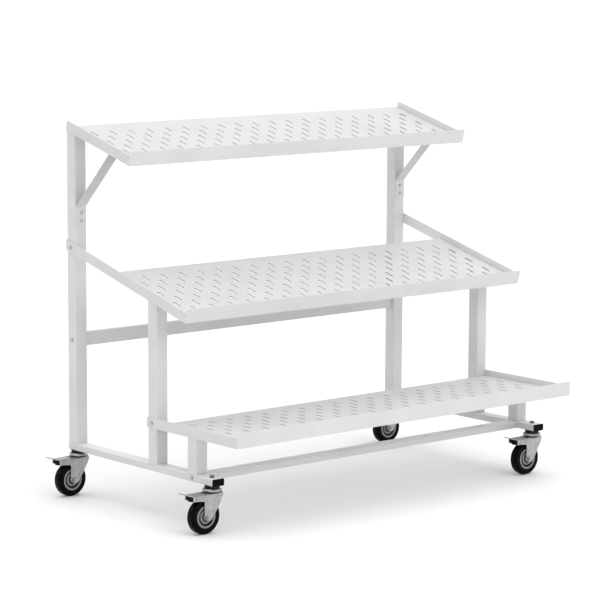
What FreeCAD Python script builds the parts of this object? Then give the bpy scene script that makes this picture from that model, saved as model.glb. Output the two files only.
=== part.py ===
# Three-tier produce display cart: steel tube frame, three perforated trays,
# four braked swivel casters. Millimetres, +Z up, front towards -Y.
# Built about the middle of the cart with the rear faces of the rear posts at
# y = 0, then shifted so that the origin lies on the floor under the middle
# of the bounding box.
import math
import os

import FreeCAD
import Part
from FreeCAD import Vector

# Tubes: square posts, flat rectangular rails and crossbars. The bays are the
# clear lengths of rail between the posts, the nose is the one ahead of them.
tube = 40.0
rail_height = 20.0
wall = 1.5
tube_inner_corner = 1.5
frame_width = 1295.0
rear_bay = 346.0
front_bay = 140.0
rail_nose = 74.0
rear_crossbar_above_rail = 288.0
plug_length = 20.0
plug_clearance = 0.3
cap_thickness = 2.5
cap_plug_depth = 8.0
cap_clearance = 0.2

# Trays: perforated panel, two angle arms and an upstanding front lip. Depths
# run along the slope; an overhang is what reaches past the post in front.
sheet = 2.5
arm_height = 30.0
arm_leg = 25.0
tab_past_bolt = 9.5
lip_height = 42.5
lip_sheet = 2.0
lip_leg = 20.0
lip_corner = 4.0
tray_corner = 5.0
fold_share = 0.9
panel_sheet = 2.0
panel_above_leg = 10.0
panel_edge_gap = 1.0
panel_bend = 1.4
slot_length = 33.0
slot_width = 7.0
slot_pitch_x = 67.0
slot_row_pitch = 38.9
slot_side_margin = 34.0
slot_front_margin = 32.0

top_tilt = 15.0
top_depth = 317.0
top_above_rail = 920.0
top_slot_margin = 77.0
middle_tilt = 15.0
middle_overhang = 139.0
middle_above_rail = 571.0
middle_panel_depth = 361.0
middle_slot_margin = 65.5
bottom_overhang = 184.0
bottom_above_rail = 103.5
bottom_panel_gap = 2.0
bottom_slot_margin = 65.5

# Struts from the rear posts to the top tray
strut_edge = 2.5
strut_foot = 56.0
strut_foot_below_tray = 274.0
strut_slope = 45.0
strut_tab = 26.0
strut_bend = 2.0
foot_screw_pitch = 23.5
foot_screw_drop = 3.0

# Fasteners
bolt_radius = 3.0
bolt_head_radius = 5.8
bolt_head = 4.0
bolt_hole_gap = 0.3
thread_gap = 0.05
bolt_reach = 12.0
bolt_in_plug = 14.0
screw_radius = 2.5
screw_head_radius = 5.4
screw_head = 2.6
screw_dome = 1.5
screw_reach = 8.0
recess_reach = 2.6
recess_half = 0.5
recess_depth = 1.2

# Caster stem and bearing head
front_caster_inset = 29.0
stem_radius = 4.0
stem_chamfer = 1.0
stem_over_nut = 1.0
nut_radius = 7.2
nut_height = 6.5
rivet_rim = 5.0
rivet_height = 3.0
rivet_bevel = 2.0
rivet_gap = 0.5
head_radius = 27.0
head_height = 17.5
head_bevel = 2.5
neck_step = 6.0
neck_height = 9.5
race_wall = 5.0
race_width = 9.0
ball_radius = 2.5
ball_count = 14
ball_gap = 0.08
head_to_crown = 1.5
swivel_fit = 0.08

# Caster fork: the crown lies under the bearing head, the legs slant back to
# rounded feet, and ears reach ahead to carry the brake lever
trail = 30.5
fork_sheet = 2.5
fork_bend = 6.0
fork_edge = 1.2
crown_back = 27.0
cheek_turn = 9.0
crown_front = 34.0
tyre_to_crown = 13.5
wheel_side_gap = 3.5
cheek_straight = 12.0
foot_radius = 15.5
foot_behind_axle = 5.5
foot_above_axle = 4.0
ear_reach = 29.0
ear_rise = 7.6
ear_drop = 10.1
ear_upsweep = 3.2
ear_corner = 5.0

# Caster wheel and axle
wheel_radius = 50.0
wheel_width = 28.0
tyre_thickness = 18.0
tyre_shoulder = 8.0
tyre_bulge = 0.5
rim_thickness = 6.7
rim_groove = 5.3
rim_groove_depth = 6.5
disc_inset = 1.0
hub_groove = 3.5
hub_groove_depth = 4.5
hub_radius = 10.0
hub_side_gap = 0.4
core_draft = 0.5
axle_radius = 4.0
axle_fit = 0.08
axle_head_radius = 7.5
axle_head = 5.5
axle_nut = 6.5
axle_past_nut = 2.0

# Caster brake: a pressed lever on a pin between the ears, with a hood ahead
# of them and a tongue to step on; the moulded pedal block hangs in the hood
pivot_ahead = 10.0
pivot_depth = 29.6
pivot_radius = 3.0
pivot_fit = 0.08
pin_head_radius = 4.8
pin_head = 1.5
pin_head_gap = 0.1
lever_sheet = 2.5
lever_rise = 9.6
lever_side_gap = 0.8
lug_radius = 5.0
hood_gap = 1.5
hood_length = 8.5
hood_height = 16.0
hood_bend = 2.4
tongue_length = 26.5
tongue_rise = 8.2
tongue_corner = 3.0
pedal_seat_gap = 0.05
pedal_side_gap = 0.2
pedal_end_gap = 0.3
pedal_shoulder = 7.4
pedal_height = 15.4
pedal_nose = 10.0
pedal_web = 8.5
toe_gap = 4.6
toe_lean_back = 30.0
toe_lean_front = 38.0
toe_front_step = 2.5
toe_front_rise = 3.0
toe_inset = 1.0

# Derived positions
half_frame = frame_width / 2.0
post_x = half_frame - tube / 2.0
half_tray = half_frame + sheet
middle_post_back = tube + rear_bay
front_post_back = middle_post_back + tube + front_bay
rail_length = front_post_back + tube + rail_nose
crown_depth = head_height + head_to_crown
crown_low = crown_depth + fork_sheet
axle_depth = crown_low + tyre_to_crown + wheel_radius
rail_bottom = axle_depth + wheel_radius
rail_mid = rail_bottom + rail_height / 2.0
rail_top = rail_bottom + rail_height
panel_top = sheet + panel_above_leg
rear_caster_y = -tube / 2.0
front_caster_y = -(rail_length - front_caster_inset)
front_bar_y = -front_post_back - tube / 2.0
rear_bar_y = -tube / 2.0
rear_bar_z = rail_top + rear_crossbar_above_rail + tube / 2.0
bolt_hole = bolt_radius + bolt_hole_gap
screw_hole = screw_radius + bolt_hole_gap

nodes = {}


def box(x_range, y_range, z_range):
    lo = Vector(min(x_range), min(y_range), min(z_range))
    hi = Vector(max(x_range), max(y_range), max(z_range))
    size = hi - lo
    return Part.makeBox(size.x, size.y, size.z, lo)


def rod(start, axis, radius, length):
    return Part.makeCylinder(radius, length, Vector(*start), Vector(*axis))


def hexagon(start, axis, radius, length):
    """Hexagonal head or nut on its seat along X, Y or Z, with the given
    corner radius and the corners turned off at its free end."""
    way = Vector(*axis)
    side = Vector(0, 0, 1) if abs(way.z) < 0.5 else Vector(1, 0, 0)
    across = way.cross(side)
    points = []
    for step in range(7):
        turn = math.radians(60.0 * step)
        points.append(Vector(*start) + side * (radius * math.cos(turn)) + across * (radius * math.sin(turn)))
    prism = Part.Face(Part.makePolygon(points)).extrude(way * length)
    flat = radius * math.cos(math.radians(30.0))
    slant = length * math.tan(math.radians(60.0))
    return prism.common(Part.makeCone(flat + slant, flat, length, Vector(*start), way))


def prism_x(points_yz, x_start, x_end):
    points = [Vector(x_start, y, z) for y, z in points_yz]
    return Part.Face(Part.makePolygon(points + points[:1])).extrude(Vector(x_end - x_start, 0, 0))


def prism_z(points_xy, z_low, z_high):
    """Straight prism with the given outline seen from above."""
    outline = [Vector(x, y, z_low) for x, y in points_xy]
    return Part.Face(Part.makePolygon(outline + outline[:1])).extrude(Vector(0, 0, z_high - z_low))


def prism_y(points_xz, half_width):
    """Prism on both sides of the XZ plane."""
    points = [Vector(x, -half_width, z) for x, z in points_xz]
    return Part.Face(Part.makePolygon(points + points[:1])).extrude(Vector(0, 2 * half_width, 0))


def ring_profile(points_rz):
    """Solid of revolution about Z from radius and height pairs."""
    points = [Vector(r, 0, z) for r, z in points_rz]
    face = Part.Face(Part.makePolygon(points + points[:1]))
    return face.revolve(Vector(0, 0, 0), Vector(0, 0, 1), 360)


def rounded_bar(width, depth, length, corner):
    bar = Part.makeBox(width, depth, length, Vector(-width / 2.0, -depth / 2.0, 0))
    upright = [e for e in bar.Edges if abs(e.tangentAt(e.FirstParameter).z) > 0.9]
    return bar.makeFillet(corner, upright)


def hollow_bar(width, depth, length):
    """Welded tube standing on the origin along +Z."""
    inner = rounded_bar(width - 2 * wall, depth - 2 * wall, length, tube_inner_corner)
    return rounded_bar(width, depth, length, tube_inner_corner + wall).cut(inner)


def lying_along_y(bar):
    return bar.rotated(Vector(0, 0, 0), Vector(1, 0, 0), 90)


def lying_along_x(bar):
    return bar.rotated(Vector(0, 0, 0), Vector(0, 1, 0), 90)


def mirrored(shape):
    return shape.mirror(Vector(0, 0, 0), Vector(1, 0, 0))


def pair(name, right_shape):
    nodes["right_" + name] = right_shape
    nodes["left_" + name] = mirrored(right_shape)


def moved(shape, x, y, z):
    return shape.translated(Vector(x, y, z))


def round_edges(shape, radius, wanted):
    return shape.makeFillet(radius, [e for e in shape.Edges if wanted(e)])


def set_off(line, thickness):
    """A bent line moved sideways by a sheet thickness, corners kept sharp."""
    ways = []
    for (u0, v0), (u1, v1) in zip(line, line[1:]):
        size = math.hypot(u1 - u0, v1 - v0)
        ways.append(((u1 - u0) / size, (v1 - v0) / size))
    out = [(line[0][0] - ways[0][1] * thickness, line[0][1] + ways[0][0] * thickness)]
    for corner, before, after in zip(line[1:], ways, ways[1:]):
        bend = thickness / (1 + before[0] * after[0] + before[1] * after[1])
        out.append((corner[0] - (before[1] + after[1]) * bend, corner[1] + (before[0] + after[0]) * bend))
    out.append((line[-1][0] - ways[-1][1] * thickness, line[-1][1] + ways[-1][0] * thickness))
    return out


class Tray:
    """Level frame of one tray: run is measured forward from its rear line and
    rise square to its underside; placed() tips it into the cart."""

    def __init__(self, rear_y, rear_z, tilt):
        self.rear_y = rear_y
        self.rear_z = rear_z
        self.tilt = tilt

    def placed(self, shape):
        tipped = shape.rotated(Vector(0, 0, 0), Vector(1, 0, 0), self.tilt)
        return moved(tipped, 0, self.rear_y, self.rear_z)

    def point(self, run, rise):
        turn = math.radians(self.tilt)
        y = self.rear_y - run * math.cos(turn) - rise * math.sin(turn)
        z = self.rear_z - run * math.sin(turn) + rise * math.cos(turn)
        return y, z

    def run_at(self, y):
        return (self.rear_y - y) / math.cos(math.radians(self.tilt))

    def space_above(self):
        span = 3 * rail_length
        return self.placed(box((-frame_width, frame_width), (-span, span), (0, span)))


top_tray = Tray(0.0, rail_top + top_above_rail, top_tilt)
middle_tray = Tray(0.0, rail_top + middle_above_rail, middle_tilt)
bottom_tray = Tray(-middle_post_back, rail_top + bottom_above_rail, 0.0)
middle_depth = middle_tray.run_at(-middle_post_back - tube) + middle_overhang
bottom_depth = bottom_tray.run_at(-front_post_back - tube) + bottom_overhang

# Side frames: a flat rail with three upright posts welded on top. The posts
# end flush under their tray, the rear and middle ones cut to its slope.
rail = lying_along_y(hollow_bar(tube, rail_height, rail_length - cap_thickness))
rail = moved(rail, post_x, 0, rail_mid)
for stem_y in (rear_caster_y, front_caster_y):
    stem_hole = rod((post_x, stem_y, rail_bottom), (0, 0, 1), stem_radius + bolt_hole_gap, rail_height)
    rail = rail.cut(stem_hole)
rail = rail.cut(rod((post_x - tube, front_bar_y, rail_mid), (1, 0, 0), bolt_hole, 2 * tube))
pair("base_rail", rail)


def post(back, tray):
    length = tray.rear_z - rail_top
    upright = moved(hollow_bar(tube, tube, length), post_x, -back - tube / 2.0, rail_top)
    return upright.cut(tray.space_above())


def arm_bolt_points(tray):
    """Where the side bolt and the rear tab bolt of an arm meet the post."""
    side_y = tray.rear_y - tube / 2.0
    side_z = tray.point(tray.run_at(side_y), arm_height / 2.0)[1]
    tab_z = tray.point(0, arm_height / 2.0)[1]
    return side_y, side_z, tab_z


def drilled_for_arm(upright, tray):
    side_y, side_z, tab_z = arm_bolt_points(tray)
    upright = upright.cut(rod((post_x, side_y, side_z), (1, 0, 0), bolt_hole, tube))
    return upright.cut(rod((post_x, side_y, tab_z), (0, 1, 0), bolt_hole, tube))


strut_foot_z = top_tray.rear_z - strut_foot_below_tray
screw_mid_z = strut_foot_z + strut_foot / 2.0 - foot_screw_drop
foot_screw_z = [screw_mid_z - foot_screw_pitch / 2.0, screw_mid_z + foot_screw_pitch / 2.0]

rear_post = drilled_for_arm(post(0.0, top_tray), middle_tray)
rear_post = rear_post.cut(rod((post_x - tube, rear_bar_y, rear_bar_z), (1, 0, 0), bolt_hole, 2 * tube))
for screw_z in foot_screw_z:
    rear_post = rear_post.cut(rod((post_x, -tube / 2.0, screw_z), (0, -1, 0), screw_hole, tube))
pair("rear_post", rear_post)
pair("middle_post", drilled_for_arm(post(middle_post_back, middle_tray), bottom_tray))
pair("front_post", post(front_post_back, bottom_tray))

# Crossbars: one on edge between the rear posts, one flat between the rails.
# A threaded plug in each end takes the bolt that comes through the tube.
bar_length = frame_width - 2 * tube
rear_bar = lying_along_x(hollow_bar(tube, rail_height, bar_length))
nodes["rear_crossbar"] = moved(rear_bar, -bar_length / 2.0, rear_bar_y, rear_bar_z)
front_bar = lying_along_x(hollow_bar(rail_height, tube, bar_length))
nodes["front_crossbar"] = moved(front_bar, -bar_length / 2.0, front_bar_y, rail_mid)

plug_side = tube - 2 * (wall + plug_clearance)
plug_flat = rail_height - 2 * (wall + plug_clearance)
plugs = []
for bar_y, bar_z, high, deep in ((rear_bar_y, rear_bar_z, plug_side, plug_flat),
                                 (front_bar_y, rail_mid, plug_flat, plug_side)):
    plug = box((bar_length / 2.0 - plug_length, bar_length / 2.0),
               (bar_y - deep / 2.0, bar_y + deep / 2.0),
               (bar_z - high / 2.0, bar_z + high / 2.0))
    plug = plug.cut(rod((0, bar_y, bar_z), (1, 0, 0), bolt_radius + thread_gap, frame_width))
    plugs += [plug, mirrored(plug)]
nodes["crossbar_end_plugs"] = Part.makeCompound(plugs)

# Rail end caps: moulded plugs, at the front with a flange as large as the
# tube, at the rear flush with its end.
cap_flange = rounded_bar(tube, rail_height, cap_thickness, tube_inner_corner + wall)
cap_inside = 2 * (wall + cap_clearance)
cap_plug = rounded_bar(tube - cap_inside, rail_height - cap_inside, cap_plug_depth, tube_inner_corner)
cap = lying_along_y(cap_flange.fuse(moved(cap_plug, 0, 0, -cap_plug_depth)).removeSplitter())
front_cap = moved(cap, post_x, -(rail_length - cap_thickness), rail_mid)
rear_cap = moved(lying_along_y(cap_plug), post_x, 0, rail_mid)
nodes["rail_end_caps"] = Part.makeCompound([front_cap, rear_cap, mirrored(front_cap), mirrored(rear_cap)])


def slot_wire(x, y, rise):
    """Obround outline with its long side along the depth of the tray."""
    half = slot_width / 2.0
    reach = slot_length / 2.0 - half
    corners = [Vector(x + sx * half, y + sy * reach, rise) for sx, sy in ((1, -1), (1, 1), (-1, 1), (-1, -1))]
    back_tip = Vector(x, y + slot_length / 2.0, rise)
    front_tip = Vector(x, y - slot_length / 2.0, rise)
    sides = [Part.makeLine(corners[0], corners[1]), Part.Arc(corners[1], back_tip, corners[2]).toShape(),
             Part.makeLine(corners[2], corners[3]), Part.Arc(corners[3], front_tip, corners[0]).toShape()]
    return Part.Wire(sides)


def perforated_panel(start, end, margin, full_row_first):
    """Sheet with staggered slots and an edge turned down all round."""
    half = half_frame - panel_edge_gap
    under = panel_top - panel_sheet
    shell = box((-half, half), (-start, -end), (sheet, panel_top))
    shell = round_edges(shell, panel_bend, lambda e: e.BoundBox.ZMin > panel_top - 0.01)
    hollow = box((-half + panel_sheet, half - panel_sheet), (-start - panel_sheet, -end + panel_sheet), (0, under))
    columns = int(2 * (half - slot_side_margin) / slot_pitch_x) + 1
    rows = int((end - slot_front_margin - start - margin) / slot_row_pitch) + 1
    slots = []
    for row in range(rows):
        full = (row % 2 == 0) == full_row_first
        count = columns if full else columns - 1
        first_x = -(count - 1) * slot_pitch_x / 2.0
        row_y = -start - margin - row * slot_row_pitch
        for column in range(count):
            wire = slot_wire(first_x + column * slot_pitch_x, row_y, under - panel_sheet)
            slots.append(Part.Face(wire).extrude(Vector(0, 0, 3 * panel_sheet)))
    return shell.cut(hollow).cut(Part.makeCompound(slots))


def tray_panel(name, tray, depth, start, margin, full_row_first):
    panel = perforated_panel(start, depth - lip_sheet - panel_edge_gap, margin, full_row_first)
    nodes[name + "_tray_panel"] = tray.placed(panel)


def tray_outline(depth):
    """Space over the tray seen from above, its front corners rounded."""
    plan = box((-half_tray, half_tray), (tube, -depth), (-arm_height, 2 * lip_height))
    return round_edges(plan, tray_corner, lambda e: e.BoundBox.ZLength > lip_height
                       and e.BoundBox.YMax < -depth + 0.01)


def tray_lip(name, tray, depth):
    """Upstanding front strip with a leg turned in under the panel."""
    lip_back = depth - lip_sheet
    strip = box((-half_tray, half_tray), (-lip_back, -depth), (0, lip_height))
    strip = round_edges(strip, lip_corner, lambda e: e.BoundBox.ZMin > lip_height - 0.01
                        and e.BoundBox.XLength < 0.01)
    leg_half = half_frame - arm_leg - panel_edge_gap
    leg = box((-leg_half, leg_half), (-lip_back + lip_leg, -lip_back), (0, sheet))
    lip = strip.fuse(leg).removeSplitter()
    lip = round_edges(lip, fold_share * lip_sheet, lambda e: e.BoundBox.ZMax < 0.01
                      and e.BoundBox.YMax < -depth + 0.01)
    nodes[name + "_tray_lip"] = tray.placed(lip.common(tray_outline(depth)))


def tray_arm(tray, depth, leg_start, rear_end):
    """Angle along the right end of a tray, its leg turned in under the panel."""
    lip_back = depth - lip_sheet
    upright = box((half_frame, half_tray), (rear_end, -lip_back), (0, arm_height))
    leg = box((half_frame - arm_leg, half_frame), (-leg_start, -lip_back), (0, sheet))
    arm = upright.fuse(leg).removeSplitter()
    arm = round_edges(arm, fold_share * sheet, lambda e: e.BoundBox.ZMax < 0.01
                      and e.BoundBox.XMin > half_tray - 0.01)
    return tray.placed(arm.common(tray_outline(depth)))


def tabbed_arm(tray, depth, leg_start):
    """Arm that runs back along the post, its rear end turned in behind it."""
    spare = arm_height * math.tan(math.radians(tray.tilt)) + 2 * sheet
    arm = tray_arm(tray, depth, leg_start, spare)
    arm = arm.cut(box((0, frame_width), (tray.rear_y + sheet, rail_length), (0, 2 * tray.rear_z)))
    low = tray.point(0, 0)[1] + sheet
    high = tray.point(0, arm_height)[1]
    tab_end = post_x - tab_past_bolt
    arm = arm.fuse(box((tab_end, half_tray), (tray.rear_y, tray.rear_y + sheet), (low, high)))
    side_y, side_z, tab_z = arm_bolt_points(tray)
    arm = arm.cut(rod((post_x, side_y, side_z), (1, 0, 0), bolt_hole, tube))
    arm = arm.cut(rod((post_x, side_y, tab_z), (0, 1, 0), bolt_hole, tube))
    return arm.removeSplitter()


middle_panel_start = middle_depth - lip_sheet - panel_edge_gap - middle_panel_depth
bottom_panel_start = tube + bottom_panel_gap
tray_panel("top", top_tray, top_depth, 0.0, top_slot_margin, True)
tray_panel("middle", middle_tray, middle_depth, middle_panel_start, middle_slot_margin, False)
tray_panel("bottom", bottom_tray, bottom_depth, bottom_panel_start, bottom_slot_margin, False)
tray_lip("top", top_tray, top_depth)
tray_lip("middle", middle_tray, middle_depth)
tray_lip("bottom", bottom_tray, bottom_depth)
top_arm = tray_arm(top_tray, top_depth, 0.0, 0.0).removeSplitter()
pair("middle_arm", tabbed_arm(middle_tray, middle_depth, middle_panel_start))
pair("bottom_arm", tabbed_arm(bottom_tray, bottom_depth, bottom_panel_start))

# Struts: flat strip, screwed to the front of the rear post, rising forward
# at its slope and turned under the arm of the top tray.
slope = math.radians(strut_slope)
tilt = math.radians(top_tilt)
foot_top_z = strut_foot_z + strut_foot
rise_to_tray = top_tray.point(top_tray.run_at(-tube), 0)[1] - foot_top_z
strut_run = rise_to_tray / (math.tan(slope) + math.tan(tilt))
meet = (-tube - strut_run, foot_top_z + strut_run * math.tan(slope))
tab_tip = (meet[0] - strut_tab * math.cos(tilt), meet[1] - strut_tab * math.sin(tilt))
back_line = [(-tube, strut_foot_z), (-tube, foot_top_z), meet, tab_tip]
front_line = set_off(back_line, sheet)
strut_half = tube / 2.0 - strut_edge
strut = prism_x(back_line + front_line[::-1], post_x - strut_half, post_x + strut_half)


def bend_edge(corners):
    """Picks the edges that run across the strip at the given corners."""
    def wanted(edge):
        centre = edge.BoundBox.Center
        near = min(math.hypot(centre.y - y, centre.z - z) for y, z in corners)
        return near < 0.01 and edge.BoundBox.XLength > strut_half
    return wanted


strut = round_edges(strut, strut_bend, bend_edge(front_line[1:3]))
strut = round_edges(strut, strut_bend + sheet, bend_edge(back_line[1:3]))
for screw_z in foot_screw_z:
    strut = strut.cut(rod((post_x, 0, screw_z), (0, -1, 0), screw_hole, 2 * tube))
tab_screw_x = half_frame - arm_leg / 2.0
tab_screw_run = top_tray.run_at(meet[0]) + strut_tab / 2.0
tab_hole = top_tray.placed(rod((tab_screw_x, -tab_screw_run, -2 * sheet), (0, 0, 1), screw_hole, 4 * sheet))
pair("strut", strut.cut(tab_hole))
pair("top_arm", top_arm.cut(tab_hole))


def bolt(start, axis, reach):
    """Hexagon head on the surface at start, shank running back into it."""
    way = Vector(*axis)
    head = hexagon(start, axis, bolt_head_radius, bolt_head)
    shank_start = Vector(*start) - way * reach
    return head.fuse(Part.makeCylinder(bolt_radius, reach, shank_start, way)).removeSplitter()


def screw(start, axis):
    """Domed head with a cross recess on the surface at start, shank running
    back into it. The axis lies in the YZ plane."""
    head = rod((0, 0, 0), (0, 0, 1), screw_head_radius, screw_head)
    head = round_edges(head, screw_dome, lambda e: e.BoundBox.ZMin > screw_head - 0.01)
    for long_x, long_y in ((recess_reach, recess_half), (recess_half, recess_reach)):
        head = head.cut(box((-long_x, long_x), (-long_y, long_y), (screw_head - recess_depth, 2 * screw_head)))
    whole = head.fuse(rod((0, 0, -screw_reach), (0, 0, 1), screw_radius, screw_reach))
    tip = math.degrees(math.atan2(-axis[1], axis[2]))
    return moved(whole.rotated(Vector(0, 0, 0), Vector(1, 0, 0), tip), *start)


bolts = [bolt((half_frame, rear_bar_y, rear_bar_z), (1, 0, 0), tube + bolt_in_plug),
         bolt((half_frame, front_bar_y, rail_mid), (1, 0, 0), tube + bolt_in_plug)]
for tray in (middle_tray, bottom_tray):
    side_y, side_z, tab_z = arm_bolt_points(tray)
    bolts.append(bolt((half_tray, side_y, side_z), (1, 0, 0), bolt_reach))
    bolts.append(bolt((post_x, tray.rear_y + sheet, tab_z), (0, 1, 0), bolt_reach))
nodes["frame_bolts"] = Part.makeCompound(bolts + [mirrored(b) for b in bolts])

screws = [screw((post_x, -tube - sheet, screw_z), (0, -1, 0)) for screw_z in foot_screw_z]
screws.append(top_tray.placed(screw((tab_screw_x, -tab_screw_run, -sheet), (0, 0, -1))))
nodes["strut_screws"] = Part.makeCompound(screws + [mirrored(s) for s in screws])

# Casters, built with the swivel axis on Z and the rail's underside at z = 0.
# The wheel trails towards -X with its axle along Y.
neck_radius = head_radius - neck_step
neck_bore = stem_radius + thread_gap
race_outer = head_radius - race_wall
race_inner = race_outer - race_width
race_roof = -(crown_depth - 2 * (ball_radius + ball_gap))
swivel_head = ring_profile([
    (neck_bore, 0), (neck_radius, 0), (neck_radius, -neck_height), (head_radius - head_bevel, -neck_height),
    (head_radius, -neck_height - head_bevel), (head_radius, -head_height), (race_outer, -head_height),
    (race_outer, race_roof), (race_inner, race_roof), (race_inner, -head_height), (neck_bore, -head_height)])

stem_top = rail_height + nut_height + stem_over_nut
rivet_radius = stem_radius + rivet_rim
rivet_top = -(crown_low + rivet_gap)
rivet_end = rivet_top - rivet_height
stem = ring_profile([
    (0, stem_top), (stem_radius - stem_chamfer, stem_top), (stem_radius, stem_top - stem_chamfer),
    (stem_radius, rivet_top), (rivet_radius, rivet_top), (rivet_radius - rivet_bevel, rivet_end), (0, rivet_end)])
stem_nut = hexagon((0, 0, rail_height), (0, 0, 1), nut_radius, nut_height)
stem_nut = stem_nut.cut(rod((0, 0, rail_height), (0, 0, 1), stem_radius + thread_gap, nut_height))

balls = []
ball_ring = (race_inner + race_outer) / 2.0
for step in range(ball_count):
    turn = 2 * math.pi * step / ball_count
    centre = Vector(ball_ring * math.cos(turn), ball_ring * math.sin(turn), race_roof - ball_gap - ball_radius)
    balls.append(Part.makeSphere(ball_radius, centre))

# Fork: pressed channel, the crown on top and a cheek each side of the wheel.
# Each cheek has a leg down to the axle and an ear ahead of it.
pivot_x = -trail - pivot_ahead
foot = (-trail + foot_behind_axle, -axle_depth + foot_above_axle)
leg_front = foot[0] - foot_radius
ear_front = pivot_x - ear_reach
ear_low = -(pivot_depth + ear_drop)
ear_high = -pivot_depth + ear_rise
cheek_end = (crown_back, -crown_depth - cheek_straight)


def tangent_point(outside, centre, radius):
    """Where the lower tangent from a point touches a circle."""
    dx = outside[0] - centre[0]
    dz = outside[1] - centre[1]
    turn = math.atan2(dz, dx) - math.acos(radius / math.hypot(dx, dz))
    return centre[0] + radius * math.cos(turn), centre[1] + radius * math.sin(turn)


def cheek_plan(half):
    """The fork seen from above: straight sides that turn inwards behind the
    swivel axis."""
    end = 2 * crown_back
    turned = half - end * math.tan(math.radians(cheek_turn))
    return [(2 * ear_front, -half), (0, -half), (end, -turned), (end, turned), (0, half), (2 * ear_front, half)]


def on_outer_face(edge):
    """Picks the edges around the outer face of a leg below the ears."""
    middle = edge.BoundBox.Center
    return abs(abs(middle.y) - fork_outer) < 0.01 and edge.BoundBox.ZMax < ear_low and edge.BoundBox.YLength < 0.01


fork_inner = wheel_width / 2.0 + wheel_side_gap
fork_outer = fork_inner + fork_sheet
leg_line = [(-crown_front, -crown_depth), (crown_back, -crown_depth), cheek_end,
            tangent_point(cheek_end, foot, foot_radius), foot, (leg_front, foot[1]),
            (leg_front, ear_low), (-crown_front, ear_low)]
ear_line = [(-crown_front, ear_high), (ear_front, ear_high), (ear_front, ear_low + ear_upsweep),
            (leg_front, ear_low), (-crown_front, ear_low)]
fork_block = prism_y(leg_line, fork_outer)
fork_block = fork_block.fuse(rod((foot[0], -fork_outer, foot[1]), (0, 1, 0), foot_radius, 2 * fork_outer))
fork_block = fork_block.removeSplitter().common(prism_z(cheek_plan(fork_outer), -2 * rail_bottom, 0))
fork_block = round_edges(fork_block, fork_bend, lambda e: e.BoundBox.ZMin > -crown_depth - 0.01
                         and e.BoundBox.XLength > fork_outer)
fork_block = fork_block.fuse(prism_y(ear_line, fork_outer)).removeSplitter()
fork_block = round_edges(fork_block, ear_corner, lambda e: e.BoundBox.YLength > fork_outer
                         and math.hypot(e.BoundBox.Center.x - leg_front, e.BoundBox.Center.z - ear_low) < 0.01)
fork_block = round_edges(fork_block, fork_edge, on_outer_face)
wheel_space = prism_z(cheek_plan(fork_inner), -2 * rail_bottom, -crown_low)
wheel_space = round_edges(wheel_space, fork_bend - fork_sheet, lambda e: e.BoundBox.ZMin > -crown_low - 0.01
                          and e.BoundBox.XLength > 0.01)
ear_space = box((2 * ear_front, -crown_front), (-fork_inner, fork_inner), (0, -axle_depth))
fork = fork_block.cut(wheel_space).cut(ear_space)
fork = fork.cut(rod((0, 0, -rail_bottom), (0, 0, 1), stem_radius + swivel_fit, rail_bottom))
fork = fork.cut(rod((-trail, -2 * fork_outer, -axle_depth), (0, 1, 0), axle_radius + thread_gap, 4 * fork_outer))
fork = fork.cut(rod((pivot_x, -2 * fork_outer, -pivot_depth), (0, 1, 0), pivot_radius + pivot_fit, 4 * fork_outer))

axle_end = fork_outer + axle_nut + axle_past_nut
axle = rod((-trail, -axle_end, -axle_depth), (0, 1, 0), axle_radius, axle_end + fork_outer)
axle = axle.fuse(hexagon((-trail, fork_outer, -axle_depth), (0, 1, 0), axle_head_radius, axle_head))
axle = axle.fuse(hexagon((-trail, -fork_outer, -axle_depth), (0, -1, 0), axle_head_radius, axle_nut))
axle = axle.removeSplitter()

# Wheel: moulded core with a disc between two grooves, under a solid rubber
# tyre. Profiles give half width over radius and are turned about the axle.
half_wheel = wheel_width / 2.0
rim_half = half_wheel - tyre_bulge
hub_half = fork_inner - hub_side_gap
tyre_inner = wheel_radius - tyre_thickness
rim_seat = tyre_inner - thread_gap
rim_inner = rim_seat - rim_thickness
disc_outer = rim_inner - rim_groove
disc_inner = hub_radius + hub_groove
core_side = [
    (axle_radius + axle_fit, hub_half), (hub_radius, hub_half), (hub_radius + core_draft, rim_half - hub_groove_depth),
    (disc_inner, rim_half - hub_groove_depth), (disc_inner + core_draft, rim_half - disc_inset),
    (disc_outer - core_draft, rim_half - disc_inset), (disc_outer, rim_half - rim_groove_depth),
    (rim_inner - core_draft, rim_half - rim_groove_depth), (rim_inner, rim_half), (rim_seat, rim_half)]
core = ring_profile(core_side + [(r, -half) for r, half in core_side[::-1]])
wheel_core = moved(lying_along_y(core), -trail, 0, -axle_depth)

shoulder_radius = wheel_radius - tyre_shoulder
shoulder_half = half_wheel - tyre_shoulder
corner = tyre_shoulder * math.sqrt(0.5)


def tyre_point(radius, half):
    return Vector(radius, 0, half)


tread = [Part.makeLine(tyre_point(tyre_inner, rim_half), tyre_point(shoulder_radius, half_wheel)),
         Part.Arc(tyre_point(shoulder_radius, half_wheel),
                  tyre_point(shoulder_radius + corner, shoulder_half + corner),
                  tyre_point(wheel_radius, shoulder_half)).toShape(),
         Part.makeLine(tyre_point(wheel_radius, shoulder_half), tyre_point(wheel_radius, -shoulder_half)),
         Part.Arc(tyre_point(wheel_radius, -shoulder_half),
                  tyre_point(shoulder_radius + corner, -shoulder_half - corner),
                  tyre_point(shoulder_radius, -half_wheel)).toShape(),
         Part.makeLine(tyre_point(shoulder_radius, -half_wheel), tyre_point(tyre_inner, -rim_half)),
         Part.makeLine(tyre_point(tyre_inner, -rim_half), tyre_point(tyre_inner, rim_half))]
tyre = Part.Face(Part.Wire(tread)).revolve(Vector(0, 0, 0), Vector(0, 0, 1), 360)
tyre = moved(lying_along_y(tyre), -trail, 0, -axle_depth)

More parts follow.
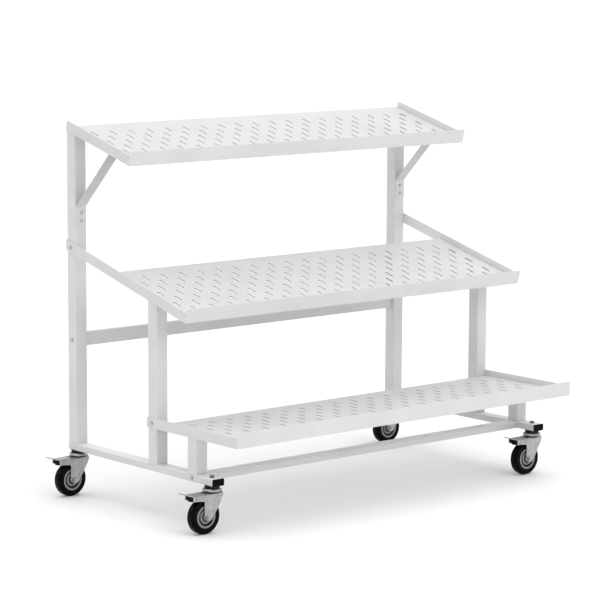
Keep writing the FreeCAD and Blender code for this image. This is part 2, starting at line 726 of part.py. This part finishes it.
# Brake lever: a plate between the ears with a lug each side for the riveted
# pin, a hood that continues the ears, and a tongue to step on.
plate_top = -pivot_depth + lever_rise
plate_low = plate_top - lever_sheet
lever_half = fork_inner - lever_side_gap
hood_back = ear_front - hood_gap
hood_front = hood_back - hood_length
lever_top = [(hood_front - tongue_length, plate_top + tongue_rise), (hood_front, plate_top),
             (pivot_x + lug_radius, plate_top)]
lever_line = lever_top + set_off(lever_top, -lever_sheet)[::-1]
lever = prism_y(lever_line, lever_half)
lever = round_edges(lever, tongue_corner, lambda e: e.BoundBox.XMax < hood_front - tongue_length + 0.01
                    and e.BoundBox.YLength < 0.01)
hood = box((hood_front, hood_back), (-fork_outer, fork_outer), (plate_top - hood_height, plate_top))
hood = round_edges(hood, hood_bend, lambda e: e.BoundBox.ZMin > plate_top - 0.01 and e.BoundBox.YLength < 0.01)
hood = hood.cut(box((2 * ear_front, 0), (-fork_inner, fork_inner), (-axle_depth, plate_low)))
lugs = box((pivot_x - lug_radius, pivot_x + lug_radius), (-lever_half, lever_half), (-pivot_depth, plate_low))
lugs = lugs.fuse(rod((pivot_x, -lever_half, -pivot_depth), (0, 1, 0), lug_radius, 2 * lever_half))
lug_inner = lever_half - lever_sheet
lugs = lugs.cut(box((2 * ear_front, 0), (-lug_inner, lug_inner), (-axle_depth, plate_low)))
pin_seat = fork_outer + pin_head_gap
pin_end = pin_seat + pin_head
pin = rod((pivot_x, -pin_end, -pivot_depth), (0, 1, 0), pivot_radius, 2 * pin_end)
pin = pin.fuse(rod((pivot_x, pin_seat, -pivot_depth), (0, 1, 0), pin_head_radius, pin_head))
pin = pin.fuse(rod((pivot_x, -pin_seat, -pivot_depth), (0, -1, 0), pin_head_radius, pin_head))
lever = lever.fuse(hood).fuse(lugs).fuse(pin).removeSplitter()

# Brake pedal: moulded block that fills the hood, tapered downwards, with a
# web back to the toe that swings down onto the tyre.
pedal_top = plate_low - pedal_seat_gap
pedal_half = fork_inner - pedal_side_gap
pedal_low = pedal_top - pedal_height
pedal_ends = (hood_front + pedal_end_gap, hood_back - pedal_end_gap)
pedal_face = [(-pedal_half, pedal_top), (pedal_half, pedal_top), (pedal_half, pedal_top - pedal_shoulder),
              (pedal_nose / 2.0, pedal_low), (-pedal_nose / 2.0, pedal_low), (-pedal_half, pedal_top - pedal_shoulder)]
toe_low = wheel_radius + toe_gap
toe_back, toe_tip = [(-trail - toe_low * math.sin(lean), -axle_depth + toe_low * math.cos(lean))
                     for lean in (math.radians(toe_lean_back), math.radians(toe_lean_front))]
toe_front = toe_tip[0] - toe_front_step
web_low = pedal_top - pedal_web
toe_line = [(pedal_ends[0], pedal_top), (toe_back[0], pedal_top), toe_back, toe_tip,
            (toe_front, toe_tip[1] + toe_front_rise), (toe_front, web_low), (pedal_ends[0], web_low)]
pedal = prism_x(pedal_face, *pedal_ends).fuse(prism_y(toe_line, wheel_width / 2.0 - toe_inset)).removeSplitter()

caster_places = {
    "rear_left": (-post_x, rear_caster_y),
    "rear_right": (post_x, rear_caster_y),
    "front_left": (-post_x, front_caster_y),
    "front_right": (post_x, front_caster_y),
}
stems, nuts, all_balls = [], [], []
for place, (x, y) in caster_places.items():
    here = (x, y, rail_bottom)
    stems.append(moved(stem, *here))
    nuts.append(moved(stem_nut, *here))
    all_balls += [moved(ball, *here) for ball in balls]
    nodes[place + "_swivel_head"] = moved(swivel_head, *here)
    nodes[place + "_fork"] = moved(fork, *here)
    nodes[place + "_axle"] = moved(axle, *here)
    nodes[place + "_wheel_core"] = moved(wheel_core, *here)
    nodes[place + "_tyre"] = moved(tyre, *here)
    nodes[place + "_brake_lever"] = moved(lever, *here)
    nodes[place + "_brake_pedal"] = moved(pedal, *here)
nodes["caster_stems"] = Part.makeCompound(stems)
nodes["stem_nuts"] = Part.makeCompound(nuts)
nodes["swivel_balls"] = Part.makeCompound(all_balls)

# The tongues reach furthest left, the bearing heads furthest right and back,
# the bottom tray's lip furthest forward.
left_limit = -post_x + min(x for x, z in lever_line)
right_limit = post_x + head_radius
back_limit = rear_caster_y + head_radius
front_limit = -middle_post_back - bottom_depth
to_origin = Vector(-(left_limit + right_limit) / 2.0, -(back_limit + front_limit) / 2.0, 0)

os.makedirs("parts", exist_ok=True)
for name, shape in nodes.items():
    shape.translated(to_origin).exportStep("parts/" + name + ".step")
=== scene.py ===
import math

import bmesh
import bpy
from mathutils import Matrix, Vector


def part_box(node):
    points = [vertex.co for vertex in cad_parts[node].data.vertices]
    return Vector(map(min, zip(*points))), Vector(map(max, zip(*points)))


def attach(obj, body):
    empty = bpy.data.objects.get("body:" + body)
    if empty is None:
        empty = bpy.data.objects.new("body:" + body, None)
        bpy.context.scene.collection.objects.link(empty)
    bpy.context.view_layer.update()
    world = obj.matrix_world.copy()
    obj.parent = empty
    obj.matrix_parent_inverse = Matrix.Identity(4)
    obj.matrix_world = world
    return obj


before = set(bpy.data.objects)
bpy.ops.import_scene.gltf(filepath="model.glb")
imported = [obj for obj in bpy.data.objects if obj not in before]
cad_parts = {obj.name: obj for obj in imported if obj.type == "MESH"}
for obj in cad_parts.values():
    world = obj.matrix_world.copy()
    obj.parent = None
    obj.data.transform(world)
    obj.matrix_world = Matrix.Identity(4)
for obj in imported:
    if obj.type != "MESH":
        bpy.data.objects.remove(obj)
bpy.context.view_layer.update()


# Side frames: a flat 40 x 20 mm base rail with three 40 mm square posts on each side, cut from
# steel tube and welded, then powder coated white in one piece.

mm = 0.001
sides = ("left", "right")
# A Mix node's colour sockets share their names with its number sockets, so they go by position.
mix_first, mix_second, mix_result = 6, 7, 2


def linear(colour):
    """An sRGB hex colour as linear red, green, blue and alpha."""
    parts = [int(colour[i:i + 2], 16) / 255 for i in (1, 3, 5)]
    return [p / 12.92 if p <= 0.04045 else ((p + 0.055) / 1.055) ** 2.4 for p in parts] + [1.0]


def add_node(tree, kind, settings=(), links=()):
    """Add a node, set its properties, sockets and colour stops, and link others to its inputs."""
    node = tree.nodes.new(kind)
    for name, value in dict(settings).items():
        if name == "interpolation":
            node.color_ramp.interpolation = value
        elif name == "stops":
            ramp = node.color_ramp.elements
            ramp[0].position = value[0][0]
            ramp[-1].position = value[-1][0]
            for spot, colour in value[1:-1]:
                ramp.new(spot)
            for stop, (spot, colour) in zip(ramp, value):
                stop.color = linear(colour)
        elif isinstance(name, str) and hasattr(node, name):
            setattr(node, name, value)
        else:
            node.inputs[name].default_value = value
    for name, socket in dict(links).items():
        tree.links.new(socket, node.inputs[name])
    return node


def start_material(name, source=None):
    """A new material, or a copy of another, with its node tree and its shader."""
    material = source.copy() if source else bpy.data.materials.new(name)
    material.name = name
    material.use_nodes = True
    return material, material.node_tree, material.node_tree.nodes["Principled BSDF"]


def retone(shader, tones):
    """Give the colour stops behind a shader's base colour other tones."""
    ramp = shader.inputs["Base Color"].links[0].from_node.color_ramp
    for stop, colour in zip(ramp.elements, tones):
        stop.color = linear(colour)


def darken(tree, shader, mask):
    """Multiply a shader's base colour by a grey mask."""
    plain = shader.inputs["Base Color"].links[0].from_socket
    layered = add_node(tree, "ShaderNodeMix",
                       {"data_type": "RGBA", "blend_type": "MULTIPLY", "Factor": 1.0},
                       {mix_first: plain, mix_second: mask})
    tree.links.new(layered.outputs[mix_result], shader.inputs["Base Color"])


def finish(material, *names):
    """Give nodes of the frame their material."""
    for name in names:
        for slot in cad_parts[name].material_slots:
            slot.material = material


# Polyester powder coat, sprayed and baked: a satin white with a faint orange peel and a slow drift
# of tone. The real peel of 2 mm is too fine to show and is drawn at 5 mm.
powder_coat, tree, shader = start_material("satin_white_powder_coat")
peel_size = 5 * mm
peel_depth = 0.12 * mm
drift_size = 120 * mm
place = add_node(tree, "ShaderNodeTexCoord")
drift = add_node(tree, "ShaderNodeTexNoise", {"Scale": 1 / drift_size, "Detail": 3.0},
                 {"Vector": place.outputs["Object"]})
tone = add_node(tree, "ShaderNodeValToRGB", {"stops": ((0.3, "#CDCDCD"), (0.7, "#D3D3D3"))},
                {"Fac": drift.outputs["Fac"]})
peel = add_node(tree, "ShaderNodeTexNoise", {"Scale": 1 / peel_size, "Detail": 2.0},
                {"Vector": place.outputs["Object"]})
sheen = add_node(tree, "ShaderNodeMapRange", {"To Min": 0.38, "To Max": 0.5},
                 {"Value": peel.outputs["Fac"]})
relief = add_node(tree, "ShaderNodeBump", {"Strength": 0.25, "Distance": peel_depth},
                  {"Height": peel.outputs["Fac"]})
tree.links.new(tone.outputs["Color"], shader.inputs["Base Color"])
tree.links.new(sheen.outputs["Result"], shader.inputs["Roughness"])
tree.links.new(relief.outputs["Normal"], shader.inputs["Normal"])
shader.inputs["IOR"].default_value = 1.5

# The same coat on the level tubes near the floor, with painted light: their upper faces are painted
# whiter than their sides, for the light that falls on them. The turns are cosines between a face's
# normal and the way up, where its tone starts and stops changing.
turn_start, turn_end = 0.5, 0.8
level_coat_with_painted_light, tree, shader = start_material("satin_white_powder_coat_with_painted_light_on_level_tubes", powder_coat)
retone(shader, ("#E6E6E6", "#ECECEC"))
facing = add_node(tree, "ShaderNodeNewGeometry")
upward = add_node(tree, "ShaderNodeSeparateXYZ", links={"Vector": facing.outputs["True Normal"]})
painted_light_mask = add_node(tree, "ShaderNodeValToRGB",
                {"stops": ((turn_start, "#E2E2E2"), (turn_end, "#FFFFFF"))},
                {"Fac": upward.outputs["Z"]})
darken(tree, shader, painted_light_mask.outputs["Color"])

for side in sides:
    finish(level_coat_with_painted_light, side + "_base_rail")
    finish(powder_coat, *(side + post for post in ("_rear_post", "_middle_post", "_front_post")))

# Each post foot is welded to its rail along the front and rear, with a bead under the coat whose
# ripples are the welder's steps. The rear posts end flush with their rails and have a bead in
# front alone. A bead thins towards its ends, and its face is slightly hollow.
bead_leg = 3.2 * mm
bead_swell = 0.35 * mm
bead_step = 2.6 * mm
bead_end_share = 0.45
bead_taper_rate = 4.0
bead_hollow = 0.22
rings_per_step = 6
bead_arc = [math.radians(angle) for angle in (0, 22, 45, 68, 90)]
for side in sides:
    bead = bmesh.new()
    for post, ways in (("_rear_post", (-1,)), ("_middle_post", (-1, 1)), ("_front_post", (-1, 1))):
        low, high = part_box(side + post)
        for way in ways:
            face = low[1] if way < 0 else high[1]
            length = high[0] - low[0] - 2 * bead_leg
            count = int(length / bead_step * rings_per_step)
            rings = []
            for i in range(count + 1):
                along = low[0] + bead_leg + length * i / count
                taper = min(1.0, bead_end_share + bead_taper_rate * min(i, count - i) / count)
                ripple = bead_swell * math.cos(2 * math.pi * i / rings_per_step)
                leg = taper * (bead_leg + ripple)
                ring = [bead.verts.new((along, face, low[2]))]
                for angle in bead_arc:
                    hollow = 1.0 - bead_hollow * math.sin(2 * angle)
                    ring.append(bead.verts.new((along, face + way * leg * hollow * math.cos(angle),
                                                low[2] + leg * hollow * math.sin(angle))))
                rings.append(ring)
            for one, other in zip(rings, rings[1:]):
                for i in range(len(one)):
                    j = (i + 1) % len(one)
                    bead.faces.new((one[i], one[j], other[j], other[i]))
            bead.faces.new(rings[0])
            bead.faces.new(rings[-1][::-1])
    bmesh.ops.recalc_face_normals(bead, faces=bead.faces)
    for flat in bead.faces:
        flat.smooth = True
    bead_mesh = bpy.data.meshes.new(side + "_post_welds")
    bead.to_mesh(bead_mesh)
    bead.free()
    bead_mesh.materials.append(powder_coat)
    post_welds = bpy.data.objects.new(side + "_post_welds", bead_mesh)
    bpy.context.scene.collection.objects.link(post_welds)
    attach(post_welds, "frame")


# Crossbars: 40 x 20 mm steel tube between the side frames, the rear one on edge, the front one
# flat between the rails. Each is coated white and bolted to a threaded plug in either end.

finish(powder_coat, "rear_crossbar")
finish(level_coat_with_painted_light, "front_crossbar")


# Trays: a perforated sheet in a frame of two angle arms and an upstanding front lip, pressed and
# welded from steel sheet and coated white with the rest.

# The same coat on the perforated panels, with painted shade: faces that stand square to the sheet,
# the walls of the punched slots, are painted greyer than the flat faces for the shade inside the
# slots, by a different amount on each tray, except round the folded edges. These take up small
# shares of the panel's width and depth.
wall_end, flat_start = 0.55, 0.85
edge_across, edge_along = 0.02, 0.065
for tray, slot_shade_tone in (("top", "#A6A6A6"), ("middle", "#868686"), ("bottom", "#D6D6D6")):
    punched_coat_with_painted_shade, tree, shader = start_material(
        "satin_white_powder_coat_on_" + tray + "_panel", powder_coat)
    facing = add_node(tree, "ShaderNodeNewGeometry")
    upward = add_node(tree, "ShaderNodeSeparateXYZ",
                      links={"Vector": facing.outputs["True Normal"]})
    level = add_node(tree, "ShaderNodeMath", {"operation": "ABSOLUTE"}, {0: upward.outputs["Z"]})
    painted_light_mask = add_node(tree, "ShaderNodeValToRGB",
                    {"stops": ((wall_end, slot_shade_tone), (flat_start, "#FFFFFF"))},
                    {"Fac": level.outputs["Value"]})
    place = add_node(tree, "ShaderNodeTexCoord")
    spread = add_node(tree, "ShaderNodeSeparateXYZ",
                      links={"Vector": place.outputs["Generated"]})
    mask = painted_light_mask.outputs["Color"]
    for axis, edge in (("X", edge_across), ("Y", edge_along)):
        folded = add_node(tree, "ShaderNodeValToRGB", {
            "interpolation": "CONSTANT",
            "stops": ((0.0, "#FFFFFF"), (edge, "#000000"), (1 - edge, "#FFFFFF"))},
                          {"Fac": spread.outputs[axis]})
        lighter = add_node(tree, "ShaderNodeMix",
                           {"data_type": "RGBA", "blend_type": "LIGHTEN", "Factor": 1.0},
                           {mix_first: mask, mix_second: folded.outputs["Color"]})
        mask = lighter.outputs[mix_result]
    darken(tree, shader, mask)
    finish(punched_coat_with_painted_shade, tray + "_tray_panel")
    finish(powder_coat, tray + "_tray_lip")

# The same coat on the arms, a little whiter than on the tubes, with painted light: an arm's inner
# face is painted whitest, for the light bounced up off the tray.
for side, inward in (("left", 1.0), ("right", -1.0)):
    arm_coat_with_painted_light, tree, shader = start_material(
        "satin_white_powder_coat_on_" + side + "_arms", powder_coat)
    retone(shader, ("#DDDDDD", "#E2E2E2"))
    facing = add_node(tree, "ShaderNodeNewGeometry")
    sideways = add_node(tree, "ShaderNodeSeparateXYZ",
                        links={"Vector": facing.outputs["True Normal"]})
    inner = add_node(tree, "ShaderNodeMath", {"operation": "MULTIPLY", 1: inward},
                     {0: sideways.outputs["X"]})
    painted_light_mask = add_node(tree, "ShaderNodeValToRGB",
                    {"stops": ((turn_start, "#EDEDED"), (turn_end, "#FFFFFF"))},
                    {"Fac": inner.outputs["Value"]})
    darken(tree, shader, painted_light_mask.outputs["Color"])
    finish(arm_coat_with_painted_light, *(side + arm for arm in ("_top_arm", "_middle_arm", "_bottom_arm")))


# Struts: flat steel strip from the front of each rear post up to the top tray, bent at the foot
# and turned under the tray's arm. Each is coated white and screwed at both ends.

# The same coat on the struts, with painted shade: above its foot a strut is painted greyer than the
# post, and more so towards the tray that shades it, so tone goes by height, with a short blur at
# the bend.
strut_coat_with_painted_shade, tree, shader = start_material("satin_white_powder_coat_with_painted_light_on_struts", powder_coat)
strut_low, strut_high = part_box("left_strut")
foot_height = 56 * mm
foot_top = foot_height / (strut_high[2] - strut_low[2])
bend_blur = 0.02
place = add_node(tree, "ShaderNodeTexCoord")
rise = add_node(tree, "ShaderNodeSeparateXYZ", links={"Vector": place.outputs["Generated"]})
painted_light_mask = add_node(tree, "ShaderNodeValToRGB", {"stops": (
    (foot_top - bend_blur, "#FFFFFF"), (foot_top + bend_blur, "#F0F0F0"), (1.0, "#DCDCDC"))},
                {"Fac": rise.outputs["Z"]})
darken(tree, shader, painted_light_mask.outputs["Color"])

finish(strut_coat_with_painted_shade, *(side + "_strut" for side in sides))


# Fasteners: hexagon bolts in the posts, rails and arms, domed screws in the struts, nuts on the
# caster stems and threaded plugs in the ends of the crossbars. All are steel, headed or cut from
# bar, and zinc plated.

# Bright zinc plate, electroplated and passivated: a grey mirror softened by cloudy passivate.
bright_zinc, tree, shader = start_material("bright_zinc_plate")
cloud_size = 6 * mm
place = add_node(tree, "ShaderNodeTexCoord")
cloud = add_node(tree, "ShaderNodeTexNoise", {"Scale": 1 / cloud_size, "Detail": 4.0},
                 {"Vector": place.outputs["Object"]})
tone = add_node(tree, "ShaderNodeValToRGB", {"stops": ((0.35, "#B0B0AF"), (0.65, "#C8C8C7"))},
                {"Fac": cloud.outputs["Fac"]})
sheen = add_node(tree, "ShaderNodeMapRange", {"To Min": 0.22, "To Max": 0.4},
                 {"Value": cloud.outputs["Fac"]})
tree.links.new(tone.outputs["Color"], shader.inputs["Base Color"])
tree.links.new(sheen.outputs["Result"], shader.inputs["Roughness"])
shader.inputs["Metallic"].default_value = 1.0

finish(bright_zinc, "frame_bolts", "strut_screws", "crossbar_end_plugs")

# The same plate on the stem nuts, in darker tones than on the bolts.
darker_zinc, tree, shader = start_material("darker_zinc_plate", bright_zinc)
retone(shader, ("#606060", "#7A7A79"))

finish(darker_zinc, "stem_nuts")


# Rail end caps: black plastic plugs, moulded and pushed into the open ends of the base rails. The
# front ones have a flange as large as the tube, and the rear ones end flush with it.

# Black polyethylene, moulded against a spark-eroded die: a matt, finely grained skin.
# The grain of 0.3 mm is too fine to show and is drawn at 1 mm.
black_plastic, tree, shader = start_material("moulded_black_polyethylene")
grain_size = 1 * mm
grain_depth = 0.05 * mm
place = add_node(tree, "ShaderNodeTexCoord")
grain = add_node(tree, "ShaderNodeTexNoise", {"Scale": 1 / grain_size, "Detail": 2.0},
                 {"Vector": place.outputs["Object"]})
tone = add_node(tree, "ShaderNodeValToRGB", {"stops": ((0.3, "#040404"), (0.7, "#090909"))},
                {"Fac": grain.outputs["Fac"]})
sheen = add_node(tree, "ShaderNodeMapRange", {"To Min": 0.42, "To Max": 0.58},
                 {"Value": grain.outputs["Fac"]})
relief = add_node(tree, "ShaderNodeBump", {"Strength": 0.3, "Distance": grain_depth},
                  {"Height": grain.outputs["Fac"]})
tree.links.new(tone.outputs["Color"], shader.inputs["Base Color"])
tree.links.new(sheen.outputs["Result"], shader.inputs["Roughness"])
tree.links.new(relief.outputs["Normal"], shader.inputs["Normal"])
shader.inputs["Specular IOR Level"].default_value = 0.06

finish(black_plastic, "rail_end_caps")


# Caster heads, forks and brake levers: pressed from steel sheet and riveted, with balls between
# head and fork, a turned axle bolt through the fork's eyes and a threaded stem up through the rail.

casters = ("rear_left", "rear_right", "front_left", "front_right")

# Zinc-plated pressed steel: a dull grey metal with cloudy passivate.
pressed_zinc, tree, shader = start_material("zinc_plated_pressed_steel")
cloud_size = 14 * mm
place = add_node(tree, "ShaderNodeTexCoord")
cloud = add_node(tree, "ShaderNodeTexNoise", {"Scale": 1 / cloud_size, "Detail": 5.0},
                 {"Vector": place.outputs["Object"]})
tone = add_node(tree, "ShaderNodeValToRGB", {"stops": ((0.3, "#A2A2A1"), (0.7, "#BCBCBB"))},
                {"Fac": cloud.outputs["Fac"]})
sheen = add_node(tree, "ShaderNodeMapRange", {"To Min": 0.3, "To Max": 0.48},
                 {"Value": cloud.outputs["Fac"]})
tree.links.new(tone.outputs["Color"], shader.inputs["Base Color"])
tree.links.new(sheen.outputs["Result"], shader.inputs["Roughness"])
shader.inputs["Metallic"].default_value = 1.0

finish(pressed_zinc, "caster_stems", "swivel_balls")
for caster in casters:
    finish(pressed_zinc, *(caster + piece for piece in ("_fork", "_axle", "_brake_lever")))

# The same steel on the swivel heads, with painted shade: the neck above the skirt, in the rail's
# shadow, and the lower rim, over the gap to the fork, are painted dark by height.
zinc_with_painted_shade, tree, shader = start_material(
    "zinc_plated_pressed_steel_with_painted_neck_shade", pressed_zinc)
rim_height, skirt_height, head_height = 2.0 * mm, 8.0 * mm, 17.5 * mm
rim_top = rim_height / head_height
skirt_top = skirt_height / head_height
rim_blur, skirt_blur, neck_blur = 0.03, 0.02, 0.03
place = add_node(tree, "ShaderNodeTexCoord")
rise = add_node(tree, "ShaderNodeSeparateXYZ", links={"Vector": place.outputs["Generated"]})
painted_shade_band = add_node(tree, "ShaderNodeValToRGB", {"stops": (
    (rim_top - rim_blur, "#303030"), (rim_top, "#FFFFFF"),
    (skirt_top - skirt_blur, "#FFFFFF"), (skirt_top + neck_blur, "#404040"))},
                  {"Fac": rise.outputs["Z"]})
darken(tree, shader, painted_shade_band.outputs["Color"])

finish(zinc_with_painted_shade, *(caster + "_swivel_head" for caster in casters))


# Wheels and brake pedals: a grey plastic core, moulded with ring grooves in its faces, and a black
# rubber tyre moulded round it, turn on the axle. The pedal is a block of moulded black plastic in
# the lever's hood, with a toe over the tyre.

# Solid rubber, moulded and slightly bloomed: near black with faint, soft highlights.
tyre_rubber, tree, shader = start_material("moulded_black_rubber")
bloom_size = 9 * mm
place = add_node(tree, "ShaderNodeTexCoord")
bloom = add_node(tree, "ShaderNodeTexNoise", {"Scale": 1 / bloom_size, "Detail": 5.0},
                 {"Vector": place.outputs["Object"]})
tone = add_node(tree, "ShaderNodeValToRGB", {"stops": ((0.3, "#020202"), (0.75, "#060606"))},
                {"Fac": bloom.outputs["Fac"]})
sheen = add_node(tree, "ShaderNodeMapRange", {"To Min": 0.2, "To Max": 0.36},
                 {"Value": bloom.outputs["Fac"]})
tree.links.new(tone.outputs["Color"], shader.inputs["Base Color"])
tree.links.new(sheen.outputs["Result"], shader.inputs["Roughness"])
shader.inputs["Specular IOR Level"].default_value = 0.06

# Grey polypropylene, injection moulded: a plain, slightly waxy grey. The two ring grooves of each
# face are painted black, as painted shade in the grooves, so tone goes by the distance from the
# axle. The radii are where the hub, its groove, the disc, the rim's groove and the rim's flank end.
wheel_plastic, tree, shader = start_material("moulded_grey_polypropylene")
flow_size = 8 * mm
core_low, core_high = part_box("front_left_wheel_core")
core_width = core_high[0] - core_low[0]
ring_radii = (10.1 * mm, 13.8 * mm, 19.8 * mm, 25.2 * mm, 28.2 * mm)
hub, hub_groove, disc, rim_groove, rim_flank = (radius / core_width for radius in ring_radii)
to_axle = (-0.5, 0.0, -0.5)
off_axle = (1.0, 0.0, 1.0)
place = add_node(tree, "ShaderNodeTexCoord")
from_axle = add_node(tree, "ShaderNodeMapping", {"Location": to_axle, "Scale": off_axle},
                     {"Vector": place.outputs["Generated"]})
distance = add_node(tree, "ShaderNodeVectorMath", {"operation": "LENGTH"},
                    {0: from_axle.outputs["Vector"]})
rings = add_node(tree, "ShaderNodeValToRGB", {"interpolation": "CONSTANT", "stops": (
    (0.0, "#9A9A9A"), (hub, "#0A0A0A"), (hub_groove, "#8C8C8C"), (disc, "#0A0A0A"),
    (rim_groove, "#707070"), (rim_flank, "#909090"))}, {"Fac": distance.outputs["Value"]})
flow = add_node(tree, "ShaderNodeTexNoise", {"Scale": 1 / flow_size, "Detail": 3.0},
                {"Vector": place.outputs["Object"]})
cloudy = add_node(tree, "ShaderNodeValToRGB", {"stops": ((0.3, "#EBEBEB"), (0.7, "#FFFFFF"))},
                  {"Fac": flow.outputs["Fac"]})
sheen = add_node(tree, "ShaderNodeMapRange", {"To Min": 0.35, "To Max": 0.5},
                 {"Value": flow.outputs["Fac"]})
tree.links.new(rings.outputs["Color"], shader.inputs["Base Color"])
darken(tree, shader, cloudy.outputs["Color"])
tree.links.new(sheen.outputs["Result"], shader.inputs["Roughness"])
shader.inputs["Specular IOR Level"].default_value = 0.25

for caster in casters:
    finish(tyre_rubber, caster + "_tyre")
    finish(wheel_plastic, caster + "_wheel_core")
    finish(black_plastic, caster + "_brake_pedal")


# Studio: a white painted floor between pale walls with a bright band of light high on them and a
# bright ceiling, and two soft boxes in front, one low and one high.

scene = bpy.context.scene
floor_mesh = bpy.data.meshes.new("studio_floor")
reach = 200.0
corners = [(-reach, -reach, 0), (reach, -reach, 0), (reach, reach, 0), (-reach, reach, 0)]
floor_mesh.from_pydata(corners, [], [(0, 1, 2, 3)])
floor = bpy.data.objects.new("studio_floor", floor_mesh)
scene.collection.objects.link(floor)

# Matt floor paint, rolled on: an even white with hardly any gloss.
floor_paint, tree, shader = start_material("white_studio_paint")
shader.inputs["Base Color"].default_value = linear("#F5F5F5")
shader.inputs["Roughness"].default_value = 0.9
shader.inputs["Specular IOR Level"].default_value = 0.1
floor_mesh.materials.append(floor_paint)

# The surround's tone goes by the sine of the height above the horizon.
world = bpy.data.worlds.new("studio_surround")
scene.world = world
world.use_nodes = True
tree = world.node_tree
surround_strength = 1.88
way = add_node(tree, "ShaderNodeTexCoord")
height = add_node(tree, "ShaderNodeSeparateXYZ", links={"Vector": way.outputs["Generated"]})
wall = add_node(tree, "ShaderNodeValToRGB", {"stops": (
    (0.0, "#9C9C9C"), (0.12, "#828282"), (0.35, "#D9D9D9"), (0.65, "#A8A8A8"), (1.0, "#FFFFFF"))},
                {"Fac": height.outputs["Z"]})
backdrop = tree.nodes["Background"]
backdrop.inputs["Strength"].default_value = surround_strength
tree.links.new(wall.outputs["Color"], backdrop.inputs["Color"])

# The soft boxes are squares that face the middle of the cart.
box_width = 3.0
cart_middle = Vector((0.0, 0.0, 0.5))
for name, spot, power in (("low_soft_box", Vector((0.0, -5.2, 3.5)), 55.0),
                          ("high_soft_box", Vector((0.0, -3.2, 5.6)), 15.0)):
    lamp = bpy.data.lights.new(name, "AREA")
    lamp.shape = "RECTANGLE"
    lamp.size = box_width
    lamp.size_y = box_width
    lamp.energy = power
    soft_box = bpy.data.objects.new(name, lamp)
    soft_box.location = spot
    soft_box.rotation_euler = (cart_middle - spot).to_track_quat("-Z", "Y").to_euler()
    scene.collection.objects.link(soft_box)


# Camera: the photograph's own view, fitted to the straight edges and corners of the frame. It
# stands in front and to the left, higher than the top tray, with a long lens and a slight roll.

sensor_width = 36.0
focal_length = 159.64
camera_spot = (-5.0842, -5.9027, 1.7083)
heading = math.radians(-40.464)
dip_below_level = 8.330
tilt_from_down = math.radians(90 - dip_below_level)
roll = math.radians(0.271)
lens = bpy.data.cameras.new("photo_camera")
lens.sensor_width = sensor_width
lens.lens = focal_length
camera = bpy.data.objects.new("photo_camera", lens)
camera.matrix_world = (Matrix.Translation(camera_spot) @ Matrix.Rotation(heading, 4, "Z")
                       @ Matrix.Rotation(tilt_from_down, 4, "X") @ Matrix.Rotation(roll, 4, "Z"))
scene.collection.objects.link(camera)
scene.camera = camera
scene.view_settings.view_transform = "Standard"
